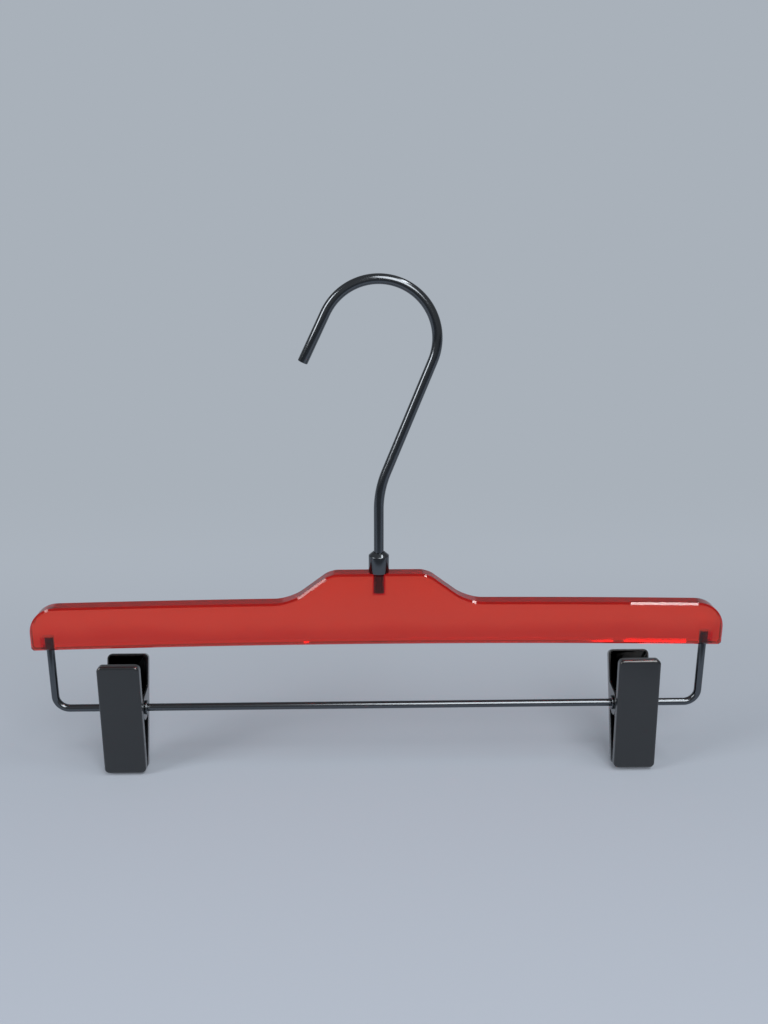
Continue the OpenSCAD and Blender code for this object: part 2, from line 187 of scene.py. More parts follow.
class HangerClipSizes(PropertyGroup):
    """The clips."""

    upper: size("Upper length", "Length of a jaw above its pivot", 23.2)
    lower: size("Lower length", "Length of a jaw below its pivot", 28.2)
    reach: size("Reach", "Distance from the pivot to a jaw's outer face", 8.5)
    rim: size("Rim", "Depth of a jaw from its face to the edge of its rim", 3.5)
    sheet: size("Sheet", "Thickness of the jaw sheet", 0.8)
    corner: size("Corner radius", "Radius of a jaw's corners in its face", 2.2)
    bend: size("Bend radius", "Outer radius of the bend between face and rim", 1)
    tip_gap: size("Tip gap", "Gap between the lower rims with the clip closed", 0.9)
    ear: size("Ear radius", "Radius of the round ears at the pivot", 5.5)
    ear_flare: size("Ear flare", "Height above the pivot where an ear leaves its jaw", 9)
    side_gap: size("Side gap", "Gap beside ears and pads", 0.15)
    burr: size("Sheared edge", "Small bevel on the sheared edges of the sheet", 0.12)
    rivet: size("Rivet", "Outer diameter of the tubular rivet", 4.6)
    rivet_rim: size("Rivet rim", "Diameter of the rivet's rolled rims", 6.2)
    rivet_rim_height: size("Rivet rim height", "How far the rolled rims stand off the ears", 0.9)
    run_gap: size("Running gap", "Radial clearance of the turning fits", 0.05)
    spring_wire: size("Spring wire", "Diameter of the spring wire", 1.1)
    spring_radius: size("Spring radius", "Radius of the coil at the middle of the wire", 3.4)
    spring_pitch: size("Spring pitch", "Pitch of the coil", 1.7)
    spring_turns: count("Spring turns", "Whole turns between the legs", 5)
    spring_foot: size("Spring foot height", "Height above the pivot where the legs meet the jaws", 13)
    pad_height: size("Pad height", "Height of a grip pad", 10)
    pad_valley: size("Pad valley", "Depth of the valleys between a pad's ridges", 0.5)
    pad_ridges: count("Pad ridges", "Number of ridges across a pad", 5)


class HangerColours(PropertyGroup):
    """The finishes."""

    acrylic: colour("Acrylic", "Colour of the clear plate", "#ff654a")
    acrylic_depth: colour("Acrylic depth", "Colour that light takes on deep inside the plate", "#fd3f2a")
    plating: colour("Plating", "Colour of the glossy black nickel plate", "#606468")
    jaw_coat: colour("Jaw coat", "Colour of the satin coat on the jaws", "#14171a")
    spring: colour("Spring", "Colour of bare spring steel", "#9a9a98")
    insert: colour("Insert", "Colour of the dark insert and bushes", "#3a3633")
    rubber: colour("Rubber", "Colour of the grip pads", "#1c1d1f")
    # The lighter front and darker back paper colours are painted falloff of the lamps' light
    floor_front: colour("Floor front", "Colour of the paper in front of the hanger", "#b4bcc8")
    floor_back: colour("Floor back", "Colour of the paper far behind the hanger", "#a9b1ba")


class HangerStage(PropertyGroup):
    """Camera and light."""

    focal: FloatProperty(
        name="Focal length", description="Lens for a 36 mm high frame", default=35.156, unit="CAMERA"
    )
    camera_at: FloatVectorProperty(
        name="Camera place",
        description="Place of the camera",
        default=(-7.69 * MM, -401.62 * MM, 29.72 * MM),
        subtype="TRANSLATION",
        size=3,
        precision=5,
    )
    pitch: angle("Pitch", "How far the camera looks down", 17.068)
    yaw: angle("Yaw", "How far the camera looks to the right", 1.398)
    roll: angle("Roll", "How far the camera is rolled", 0.041)


GROUPS = {
    "hanger_body_sizes": HangerBodySizes,
    "hanger_wire_sizes": HangerWireSizes,
    "hanger_fitting_sizes": HangerFittingSizes,
    "hanger_clip_sizes": HangerClipSizes,
    "hanger_colours": HangerColours,
    "hanger_stage": HangerStage,
}


# Materials

def new_material(name, settings):
    """A node material and its principled shader, with some of its values."""
    material = bpy.data.materials.new(name)
    material.use_nodes = True
    shader = material.node_tree.nodes["Principled BSDF"]
    for socket, value in settings.items():
        shader.inputs[socket].default_value = value
    return material, shader


def node(material, kind, settings):
    """Adds a node: sets its properties and sockets, and links the sockets that are given an output."""
    made = material.node_tree.nodes.new("ShaderNode" + kind)
    for key, value in settings.items():
        if isinstance(value, bpy.types.NodeSocket):
            material.node_tree.links.new(value, made.inputs[key])
        elif isinstance(key, int) or key in made.inputs:
            made.inputs[key].default_value = value
        else:
            setattr(made, key, value)
    return made


def link(material, source, target, socket):
    """Links an output to a socket of a node."""
    material.node_tree.links.new(source, target.inputs[socket])


def eased(value, low, high, start, end):
    """Settings of a Map Range that turns smoothly from low to high between two places."""
    ends = {"To Min": low, "To Max": high, "From Min": start, "From Max": end}
    return {"interpolation_type": "SMOOTHSTEP", **ends, "Value": value}


def uneven(material, shader, low, high, spacing, stretch=(1, 1, 1), bump=None):
    """Roughness that drifts between two values over a real distance, with a bump of a height and strength.
    Gives the noise and the object's coordinates."""
    at = node(material, "TexCoord", {}).outputs["Object"]
    drawn = node(material, "Mapping", {"Scale": stretch, "Vector": at}).outputs["Vector"]
    settings = {"Scale": 1 / spacing, "Detail": 3.0, "Roughness": 0.55, "Vector": drawn}
    noise = node(material, "TexNoise", settings).outputs["Fac"]
    spread = node(material, "MapRange", {"To Min": low, "To Max": high, "Value": noise})
    link(material, spread.outputs["Result"], shader, "Roughness")
    if bump:
        made = node(material, "Bump", {"Distance": bump[0], "Strength": bump[1], "Height": noise})
        link(material, made.outputs["Normal"], shader, "Normal")
    return noise, at


def clear_red_acrylic(colours):
    """Cast acrylic, flame polished: it reflects like glass and its red deepens with the path of the light.
    It scatters a little light, less towards its lower edge and hardly any in front of the metal in it. These
    changes in the scatter are painted light and shade: a lighter upper part, a painted darker lower part, and
    painted shade on the edges and over the insert and bushes."""
    surface = {"Base Color": (*colours.acrylic, 1), "IOR": 1.49}
    material, shader = new_material("clear_red_acrylic", surface)
    # Casting leaves a very slight waviness that bends reflections
    noise, at = uneven(material, shader, 0.0, 0.03, 14 * MM, bump=(0.02 * MM, 0.3))
    sides = node(material, "VectorMath", {"operation": "ABSOLUTE", 0: at}).outputs[0]
    axes = node(material, "SeparateXYZ", {"Vector": sides}).outputs
    # The haze thins out between two heights above the lower edge, and the noise shifts both: painted shade
    # that darkens the lower part of the plate and leaves its upper part lighter
    lit_upper_haze, shaded_lower_haze = 0.3, 0.16
    thins_from, thins_to, shift = 18 * MM, 10 * MM, 9 * MM
    settings = {"operation": "MULTIPLY_ADD", 0: noise, 1: -shift, 2: axes["Z"]}
    depth = node(material, "Math", settings).outputs[0]
    low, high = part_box("hanger_body")
    painted_lower_shade = eased(depth, lit_upper_haze, shaded_lower_haze, -low.z - thins_from, -low.z - thins_to)
    # The edges and bevels scatter less than the faces: painted shade that keeps the edge bands dark under the
    # lamps above
    shaded_edge_haze, skin = 0.1, 0.1 * MM
    parts = [painted_lower_shade, eased(axes["Y"], shaded_edge_haze, 1.0, high.y - skin, high.y)]
    # The plate is clear in front of the insert and the bushes, and clouds again over this margin: painted
    # shade that makes the metal inside the plate read dark
    insert_shade_haze, clear_to, cloudy_from = 0.05, 0.1 * MM, 0.6 * MM
    for name in ("hook_insert", "right_bar_bush"):
        low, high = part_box(name)
        middle, half = (low + high) / 2, (high - low) / 2
        past = sides
        for settings in (
            {"operation": "SUBTRACT", 1: (abs(middle.x), 0, -middle.z)},
            {"operation": "ABSOLUTE"},
            {"operation": "SUBTRACT", 1: (half.x, 0, half.z)},
        ):
            past = node(material, "VectorMath", {**settings, 0: past}).outputs[0]
        past = node(material, "SeparateXYZ", {"Vector": past}).outputs
        settings = {"operation": "MAXIMUM", 0: past["X"], 1: past["Z"]}
        edge = node(material, "Math", settings).outputs[0]
        parts.append(eased(edge, insert_shade_haze, 1.0, clear_to, cloudy_from))
    haze_and_painted_shade = None
    for part in parts:
        share = node(material, "MapRange", part).outputs["Result"]
        if haze_and_painted_shade:
            share = node(material, "Math", {"operation": "MULTIPLY", 0: haze_and_painted_shade, 1: share}).outputs[0]
        haze_and_painted_shade = share
    clear = node(material, "Math", {"operation": "SUBTRACT", 0: 1.0, 1: haze_and_painted_shade})
    link(material, clear.outputs[0], shader, "Transmission Weight")
    inside = {"Color": (*colours.acrylic_depth, 1), "Density": 900.0}
    volume = node(material, "VolumeAbsorption", inside).outputs["Volume"]
    link(material, volume, material.node_tree.nodes["Material Output"], "Volume")
    return material


def metal(name, tint, low, high, spacing, stretch=(1, 1, 1), bump=None):
    """A bare or plated metal, with its roughness and the marks that its making left."""
    material, shader = new_material(name, {"Base Color": (*tint, 1), "Metallic": 1.0})
    uneven(material, shader, low, high, spacing, stretch, bump)
    return material


def satin_coat(tint):
    """Pressed steel under a thin satin coat: dull broad highlights and a very fine even grain."""
    coat = {"Coat Weight": 1.0, "Coat IOR": 1.6, "Coat Roughness": 0.2}
    material, shader = new_material("satin_dark_coat", {"Specular IOR Level": 0.2, **coat})
    noise, at = uneven(material, shader, 0.3, 0.4, 5 * MM)
    dark, light = ((*[c * share for c in tint], 1) for share in (0.9, 1.1))
    mottle = node(material, "Mix", {"data_type": "RGBA", 0: noise, MIX_A: dark, MIX_B: light})
    link(material, mottle.outputs[MIX_RESULT], shader, "Base Color")
    settings = {"Scale": 1 / (0.25 * MM), "Detail": 2.0, "Vector": at}
    grain = node(material, "TexNoise", settings).outputs["Fac"]
    bump = node(material, "Bump", {"Distance": 0.01 * MM, "Strength": 0.35, "Height": grain})
    link(material, bump.outputs["Normal"], shader, "Normal")
    return material


def pad_rubber(tint):
    """Moulded rubber: matt, with a soft sheen and a fine moulded grain."""
    material, shader = new_material("moulded_rubber", {"Base Color": (*tint, 1)})
    uneven(material, shader, 0.6, 0.75, 0.6 * MM, bump=(0.03 * MM, 0.4))
    return material


def studio_paper(colours):
    """Seamless studio paper, matt. Part of it shows as written to the eye, so that it looks evenly lit from
    front to back, and the rest takes the lamps' light and the hanger's shadow."""
    material, shader = new_material("studio_paper", {"Specular IOR Level": 0.0})
    _, at = uneven(material, shader, 0.9, 1.0, 40 * MM)
    back = node(material, "SeparateXYZ", {"Vector": at}).outputs["Y"]
    # Its colour turns from the front one to the back one: painted light, lighter in front and darker far back
    # as the lamps' light falls off. Before the view it darkens, so that the metal and the plate reflect it
    # darkly: painted shade of a dark room in front. The part that shows as written grows towards the back.
    turn, shade, even = (
        node(material, "MapRange", eased(back, low, 1.0, start * MM, end * MM)).outputs["Result"]
        for low, start, end in ((0.0, -250, 500), (0.25, -320, -160), (0.15, -40, 300))
    )
    front, far = (*colours.floor_front, 1), (*colours.floor_back, 1)
    painted_falloff = node(material, "Mix", {"data_type": "RGBA", 0: turn, MIX_A: front, MIX_B: far})
    settings = {"operation": "SCALE", 0: painted_falloff.outputs[MIX_RESULT], "Scale": shade}
    paper = node(material, "VectorMath", settings).outputs[0]
    link(material, paper, shader, "Base Color")
    shown = node(material, "Emission", {"Strength": 1.0, "Color": paper}).outputs[0]
    rays = node(material, "LightPath", {}).outputs
    seen = rays["Is Camera Ray"]
    for kind in ("Is Glossy Ray", "Is Transmission Ray"):
        seen = node(material, "Math", {"operation": "MAXIMUM", 0: seen, 1: rays[kind]}).outputs[0]
    share = node(material, "Math", {"operation": "MULTIPLY", 0: seen, 1: even}).outputs[0]
    both = node(material, "MixShader", {0: share, 1: shader.outputs[0], 2: shown})
    link(material, both.outputs[0], material.node_tree.nodes["Material Output"], "Surface")
    return material


_made = {}


def finish(name):
    """The material of that name, made once from the colours."""
    colours = bpy.context.scene.hanger_colours
    plate, marks = colours.plating, (0.004 * MM, 0.2)
    makers = {
        "clear_red_acrylic": lambda: clear_red_acrylic(colours),
        # Glossy black nickel plate on steel: a dark mirror with faint drawing marks along the wire
        "plated_wire": lambda: metal("black_nickel_wire", plate, 0.14, 0.2, 3 * MM, (1, 1, 0.1), marks),
        "plated_bar": lambda: metal("black_nickel_bar", plate, 0.14, 0.2, 3 * MM, (0.1, 1, 1), marks),
        # The same plate where it was turned: the marks run round it and it shines a little less
        "plated_collar": lambda: metal(
            "black_nickel_turned", plate, 0.14, 0.24, 2 * MM, (1, 1, 6), marks
        ),
        "satin_jaw": lambda: satin_coat(colours.jaw_coat),
        # Drawn spring steel, bare and lightly oiled: a greyer, softer shine than the plate
        "spring_steel": lambda: metal("bare_spring_steel", colours.spring, 0.22, 0.34, 1.5 * MM),
        # Dark plated brass, turned and knurled: it glints on the crests of its knurls
        "dark_brass": lambda: metal("dark_plated_brass", colours.insert, 0.18, 0.3, 1 * MM),
        "pad_rubber": lambda: pad_rubber(colours.rubber),
        "studio_paper": lambda: studio_paper(colours),
    }
    if name not in _made:
        _made[name] = makers[name]()
    return _made[name]


# Mesh helpers

def only(kind, geom):
    """The vertices or the edges among an operator's results."""
    return [item for item in geom if isinstance(item, kind)]


def bevelled(bm, geom, offset, segments, affect="EDGES"):
    """Bevels edges, or corners of a flat shape."""
    shape = {"offset_type": "OFFSET", "profile": 0.5, "material": -1}
    bmesh.ops.bevel(bm, geom=geom, offset=offset, segments=segments, affect=affect, **shape)


def drawn_out(bm, faces, way):
    """Extrudes faces and moves the new ones, and gives their vertices."""
    moved = only(BMVert, bmesh.ops.extrude_face_region(bm, geom=faces)["geom"])
    bmesh.ops.translate(bm, verts=moved, vec=way)
    return moved


def spun(bm, geom, centre, axis, turn, steps, advance=0.0, merge=False):
    """Spins geometry about an axis, with an advance along it, and gives the last copy."""
    way = {"cent": centre, "axis": axis, "angle": turn, "dvec": axis * (advance / steps)}
    return bmesh.ops.spin(bm, geom=geom, steps=steps, use_merge=merge, **way)["geom_last"]


def soft_edges(obj, name, width, degrees):
    """Adds a small live bevel to edges sharper than the angle."""
    edge = obj.modifiers.new(name, "BEVEL")
    edge.width = width
    edge.segments = 2
    edge.limit_method = "ANGLE"
    edge.angle_limit = math.radians(degrees)


def made_object(bm, name, material, smooth_degrees=35):
    """Turns a bmesh into an object in the scene, smooth except at edges sharper than the angle."""
    bmesh.ops.remove_doubles(bm, verts=bm.verts, dist=MERGE)
    bmesh.ops.recalc_face_normals(bm, faces=bm.faces)
    mesh = bpy.data.meshes.new(name)
    bm.to_mesh(mesh)
    bm.free()
    mesh.shade_smooth()
    mesh.set_sharp_from_angle(angle=math.radians(smooth_degrees))
    mesh.materials.append(finish(material))
    made = bpy.data.objects.new(name, mesh)
    bpy.context.scene.collection.objects.link(made)
    return made


def place(obj, body, slot, *nodes):
    """A finished piece rides on its body and stands for its nodes. Its slot is not used."""
    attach(obj, body)
    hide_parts(*nodes)


def cut_by(obj, cutters, operation="DIFFERENCE"):
    """Cuts an object by others, or joins them to it, and removes them."""
    for cutter in cutters:
        modifier = obj.modifiers.new("shape", "BOOLEAN")
        modifier.operation = operation
        modifier.solver = "EXACT"
        modifier.object = cutter
    bpy.context.view_layer.update()
    evaluated = obj.evaluated_get(bpy.context.evaluated_depsgraph_get())
    shaped = bpy.data.meshes.new_from_object(evaluated)
    obj.modifiers.clear()
    obj.data = shaped
    for cutter in cutters:
        bpy.data.objects.remove(cutter)


class Wire:
    """A round wire, bent like real wire: it starts as a circle and is drawn along straights and bends."""

    def __init__(self, start, heading, diameter, segments=40):
        self.bm = bmesh.new()
        self.at = Vector(start)
        self.heading = Vector(heading).normalized()
        self.radius = diameter / 2
        turn = Z.rotation_difference(self.heading).to_matrix().to_4x4()
        matrix = Matrix.Translation(self.at) @ turn
        bmesh.ops.create_circle(
            self.bm, cap_ends=True, segments=segments, radius=self.radius, matrix=matrix
        )
        self.edges = list(self.bm.edges)

    def straight(self, length, radius=None):
        """Draws the wire on, to a new radius where one is given."""
        grown = bmesh.ops.extrude_edge_only(self.bm, edges=self.edges)["geom"]
        verts = only(BMVert, grown)
        self.edges = only(BMEdge, grown)
        self.at = self.at + self.heading * length
        bmesh.ops.translate(self.bm, verts=verts, vec=self.heading * length)
        if radius is not None:
            change = Matrix.Scale(radius / self.radius, 4)
            space = Matrix.Translation(-self.at)
            bmesh.ops.transform(self.bm, matrix=change, space=space, verts=verts)
            self.radius = radius
        return self

    def bend(self, centre, axis, turn, steps, advance=0.0):
        """Bends the wire about a centre, and moves it along the axis by an advance."""
        verts = list({v for e in self.edges for v in e.verts})
        last = spun(self.bm, verts + self.edges, centre, axis, turn, steps, advance)
        self.edges = only(BMEdge, last)
        rotation = Matrix.Rotation(turn, 3, axis)
        self.at = centre + rotation @ (self.at - centre) + axis * advance
        self.heading = rotation @ self.heading
        return self

    def turn_towards(self, side, radius, turn, steps):
        """Bends the wire towards a side that is square to its heading."""
        axis = self.heading.cross(side).normalized()
        return self.bend(self.at + side.normalized() * radius, axis, turn, steps)

    def close(self):
        """Caps the open end."""
        bmesh.ops.contextual_create(self.bm, geom=self.edges)
        return self.bm


def wire_with_cut_ends(wire, bevel):
    """Closes a wire and gives its two cut ends a small bevel."""
    bm = wire.close()
    bm.normal_update()
    caps = [f for f in bm.faces if len(f.verts) > 4]
    bevelled(bm, list({e for f in caps for e in f.edges}), bevel, 2)
    return bm


def turned(profile, bevel=0.0, steps=64, axis=Z, centre=Vector()):
    """A turned piece: a profile of (radius, height) points spun about the axis, its edges bevelled."""
    bm = bmesh.new()
    side = Vector((axis.z, axis.x, axis.y))
    verts = [bm.verts.new(centre + side * r + axis * h) for r, h in profile]
    for pair in zip(verts, verts[1:] + verts[:1]):
        bm.edges.new(pair)
    if bevel:
        bevelled(bm, [v for v, (r, _) in zip(verts, profile) if r > MERGE], bevel, 2, "VERTICES")
    spun(bm, list(bm.verts) + list(bm.edges), centre, axis, math.tau, steps, merge=True)
    bmesh.ops.dissolve_degenerate(bm, dist=MERGE / 2, edges=bm.edges)
    bmesh.ops.remove_doubles(bm, verts=bm.verts, dist=MERGE / 2)
    # The part of the profile that lay on the axis bounds no face
    bmesh.ops.delete(bm, geom=[e for e in bm.edges if not e.link_faces], context="EDGES")
    return bm


def cylinder(radius, low, high, segments=48):
    """A plain cylinder between two points."""
    bm = bmesh.new()
    low, high = Vector(low), Vector(high)
    turn = Z.rotation_difference(high - low).to_matrix().to_4x4()
    bmesh.ops.create_cone(
        bm,
        cap_ends=True,
        segments=segments,
        radius1=radius,
        radius2=radius,
        depth=(high - low).length,
        matrix=Matrix.Translation((low + high) / 2) @ turn,
    )
    return bm


def knurl(bm, centre, outer, bands, depth, count):
    """Presses straight grooves into the outer wall of a turned piece that has two steps to a knurl."""
    for v in bm.verts:
        across = Vector((v.co.x - centre.x, v.co.y - centre.y, 0))
        in_band = any(low <= v.co.z <= high for low, high in bands)
        step = round(math.atan2(across.y, across.x) / math.tau * 2 * count)
        if in_band and across.length > outer - depth / 2 and step % 2:
            v.co -= across.normalized() * depth


# Pieces

def plate_outline(sizes, low, high, arm_top):
    """Corners of the plate's outline from the lower left one, each with its radius."""
    hump = sizes.hump_width / 2
    slope = sizes.hump_slope
    rise = high.z - arm_top
    tangent = math.tan(slope / 2)
    shoulder_corner = hump + sizes.shoulder * tangent
    foot_corner = shoulder_corner + rise / math.tan(slope)
    half = (high.x - low.x) / 2
    right = [
        (half, low.z, 0),
        (half, arm_top, sizes.corner),
        (foot_corner, arm_top, sizes.foot),
        (shoulder_corner, high.z, sizes.shoulder),
    ]
    return right + [(-x, z, r) for x, z, r in reversed(right)]


class HANGER_OT_body(Operator):
    """Build the clear plate with its bevelled edges and its three blind holes"""

    bl_idname = "hanger.body"
    bl_label = "Plate"

    def execute(self, context):
        sizes = context.scene.hanger_body_sizes
        low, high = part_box("hanger_body")
        half = (high.x - low.x) / 2
        arm_top = high.z - sizes.hump_height
        underside = low.z + sizes.drop
        corners = plate_outline(sizes, Vector((low.x, 0, underside)), high, arm_top)
        bm = bmesh.new()
        verts = [bm.verts.new((x, low.y, z)) for x, z, _ in corners]
        radii = [r for _, _, r in corners]
        bm.faces.new(verts)
        for v, r in zip(verts, radii):
            if r:
                a, b = [(e.other_vert(v).co - v.co).normalized() for e in v.link_edges]
                bevelled(bm, [v], r / math.tan(a.angle(b) / 2), 12, "VERTICES")
        for i in range(1, BOW_STEPS):
            cut_x = -half + 2 * half * i / BOW_STEPS
            whole = list(bm.verts) + list(bm.edges) + list(bm.faces)
            bmesh.ops.bisect_plane(bm, geom=whole, plane_co=(cut_x, 0, 0), plane_no=X)
        for v in bm.verts:
            v.co.z -= sizes.drop * (v.co.x / half) ** 2
        drawn_out(bm, list(bm.faces), (0, high.y - low.y, 0))
        bm.normal_update()
        bmesh.ops.recalc_face_normals(bm, faces=bm.faces)
        rims = [e for e in bm.edges if e.is_manifold and e.calc_face_angle() > math.radians(80)]
        bevelled(bm, rims, sizes.bevel, 1)
        plate = made_object(bm, "clear_plate", "clear_red_acrylic")
        holes = []
        for name in ("hook_insert", "left_bar_bush", "right_bar_bush"):
            a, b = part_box(name)
            middle = (a + b) / 2
            radius = (b.x - a.x) / 2 + sizes.hole_gap
            if name == "hook_insert":
                ends = a.z - sizes.hole_gap, b.z + OVERCUT
            else:
                ends = a.z - OVERCUT, b.z + sizes.hole_gap
            hole = cylinder(radius, *((middle.x, middle.y, z) for z in ends))
            holes.append(made_object(hole, "hole", "clear_red_acrylic"))
        cut_by(plate, holes)
        plate.data.set_sharp_from_angle(angle=math.radians(25))
        place(plate, "hanger", "clear_red_acrylic", "hanger_body")
        return {"FINISHED"}


class HANGER_OT_hook(Operator):
    """Bend the hook from one wire, with the groove for its retaining ring"""

    bl_idname = "hanger.hook"
    bl_label = "Hook"

    def execute(self, context):
        sizes = context.scene.hanger_wire_sizes
        low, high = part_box("hook")
        ring_low, ring_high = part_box("hook_ring")
        seat_radius = sizes.hook_radius
        curve_z = high.z - sizes.hook_wire / 2 - seat_radius
        foot_z = curve_z - seat_radius / math.sin(sizes.neck_lean)
        run = sizes.neck_bend * math.tan(sizes.neck_lean / 2)
        neck = seat_radius / math.tan(sizes.neck_lean) - run
        groove_low = ring_low.z - RING_PLAY
        groove_high = ring_high.z + RING_PLAY
        full = sizes.hook_wire / 2
        slim = full - RING_GROOVE
        wire = Wire((0, 0, low.z), Z, sizes.hook_wire)
        wire.straight(groove_low - low.z).straight(0, slim).straight(groove_high - groove_low)
        wire.straight(0, full).straight(foot_z - run - groove_high)
        wire.turn_towards(X, sizes.neck_bend, sizes.neck_lean, 12)
        wire.straight(neck)
        left = -X * math.cos(sizes.neck_lean) + Z * math.sin(sizes.neck_lean)
        wire.turn_towards(left, seat_radius, math.pi + sizes.neck_lean - sizes.tip_lean, 72)
        wire.straight(sizes.tip_length)
        hook = made_object(wire_with_cut_ends(wire, sizes.cut_bevel), "hook_wire", "plated_wire")
        place(hook, "hook", "plated_wire", "hook")
        return {"FINISHED"}


class HANGER_OT_fittings(Operator):
    """Turn the collar, the retaining ring, the knurled insert and the bushes"""

    bl_idname = "hanger.fittings"
    bl_label = "Collar, insert and bushes"

    def execute(self, context):
        sizes = context.scene.hanger_fitting_sizes
        wire = context.scene.hanger_wire_sizes
        self.collar(sizes, wire)
        self.ring(sizes, wire)
        self.insert(sizes)
        for side in SIDES:
            self.bush(sizes, wire, side)
        return {"FINISHED"}

    def collar(self, sizes, wire):
        """The collar with its spigot, bored for the hook and grooved for the ring."""
        low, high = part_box("hook_collar")
        ring_low, ring_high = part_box("hook_ring")
        top_of_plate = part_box("hanger_body")[1].z
        radius = (high.x - low.x) / 2
        bore = wire.hook_wire / 2 + BORE_GAP
        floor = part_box("hook")[0].z - END_GAP
        groove = (ring_high.y - ring_low.y) / 2 + END_GAP
        groove_low = ring_low.z - RING_PLAY
        groove_high = ring_high.z + RING_PLAY
        profile = [
            (0, low.z),
            (sizes.spigot / 2, low.z),
            (sizes.spigot / 2, top_of_plate),
            (radius, top_of_plate),
            (radius, high.z - sizes.collar_bevel),
            (sizes.collar_top / 2, high.z),
            (bore, high.z),
            (bore, groove_high),
            (groove, groove_high),
            (groove, groove_low),
            (bore, groove_low),
            (bore, floor),
            (0, floor),
        ]
        collar = made_object(turned(profile, sizes.turned_edge), "turned_collar", "plated_collar")
        place(collar, "hanger", "plated_collar", "hook_collar")

    def ring(self, sizes, wire):
        """The split ring in the hook's groove."""
        low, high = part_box("hook_ring")
        inner = wire.hook_wire / 2 - RING_GRIP
        outer = (high.y - low.y) / 2
        bm = bmesh.new()
        half_slit = math.asin(sizes.ring_slit / 2 / outer)
        start = Matrix.Rotation(half_slit, 3, "Z")
        corners = [(inner, low.z), (outer, low.z), (outer, high.z), (inner, high.z)]
        face = bm.faces.new([bm.verts.new(start @ Vector((r, 0, z))) for r, z in corners])
        spun(bm, [face, *face.edges, *face.verts], Vector(), Z, math.tau - 2 * half_slit, 48)
        ring = made_object(bm, "retaining_ring", "spring_steel")
        place(ring, "hook", "spring_steel", "hook_ring")

    def insert(self, sizes):
        """The insert with two knurled bands, and its hole for the spigot."""
        low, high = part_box("hook_insert")
        radius = (high.x - low.x) / 2
        middle = (low.z + high.z) / 2
        waist = radius - WAIST_DEPTH
        waist_low = middle - sizes.waist / 2
        waist_high = middle + sizes.waist / 2
        bore = sizes.spigot / 2 + SEAT_GAP
        blind = high.z - sizes.spigot_length - BLIND_END
        edge = INSERT_EDGE
        profile = [
            (0, low.z),
            (radius - edge, low.z),
            (radius, low.z + edge),
            (radius, waist_low),
            (waist, waist_low),
            (waist, waist_high),
            (radius, waist_high),
            (radius, high.z - edge),
            (radius - edge, high.z),
            (bore, high.z),
            (bore, blind),
            (0, blind),
        ]
        bm = turned(profile, 0, steps=2 * sizes.knurls)
        bands = [(low.z + edge, waist_low), (waist_high, high.z - edge)]
        knurl(bm, Vector(), radius, bands, sizes.knurl_depth, sizes.knurls)
        insert = made_object(bm, "knurled_insert", "dark_brass", 12)
        place(insert, "hanger", "insert_metal", "hook_insert")

    def bush(self, sizes, wire, side):
        """The knurled bush round one end of the bar."""
        low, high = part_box(side + "_bar_bush")
        middle = (low + high) / 2
        radius = (high.x - low.x) / 2
        bore = wire.bar_wire / 2 + SEAT_GAP
        edge = BUSH_EDGE
        profile = [
            (bore, low.z),
            (radius - edge, low.z),
            (radius, low.z + edge),
            (radius, high.z - edge),
            (radius - edge, high.z),
            (bore, high.z),
        ]
        bm = turned(profile, 0, steps=2 * sizes.knurls, centre=Vector((middle.x, middle.y, 0)))
        knurl(bm, middle, radius, [(low.z + edge, high.z - edge)], sizes.knurl_depth, sizes.knurls)
        bush = made_object(bm, side + "_knurled_bush", "dark_brass", 12)
        place(bush, "hanger", "bush_metal", side + "_bar_bush")


class HANGER_OT_bar(Operator):
    """Bend the clip bar from one wire"""

    bl_idname = "hanger.bar"
    bl_label = "Clip bar"

    def execute(self, context):
        sizes = context.scene.hanger_wire_sizes
        low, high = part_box("clip_bar")
        radius = sizes.bar_wire / 2
        leg = high.x - radius
        leg_length = high.z - low.z - radius - sizes.bar_bend
        span = 2 * (leg - sizes.bar_bend)
        wire = Wire((-leg, 0, high.z), -Z, sizes.bar_wire)
        wire.straight(leg_length).turn_towards(X, sizes.bar_bend, math.pi / 2, 20)
        wire.straight(span).turn_towards(Z, sizes.bar_bend, math.pi / 2, 20)
        wire.straight(leg_length)
        bar = made_object(wire_with_cut_ends(wire, sizes.cut_bevel), "clip_bar_wire", "plated_bar")
        place(bar, "hanger", "plated_wire", "clip_bar")
        return {"FINISHED"}


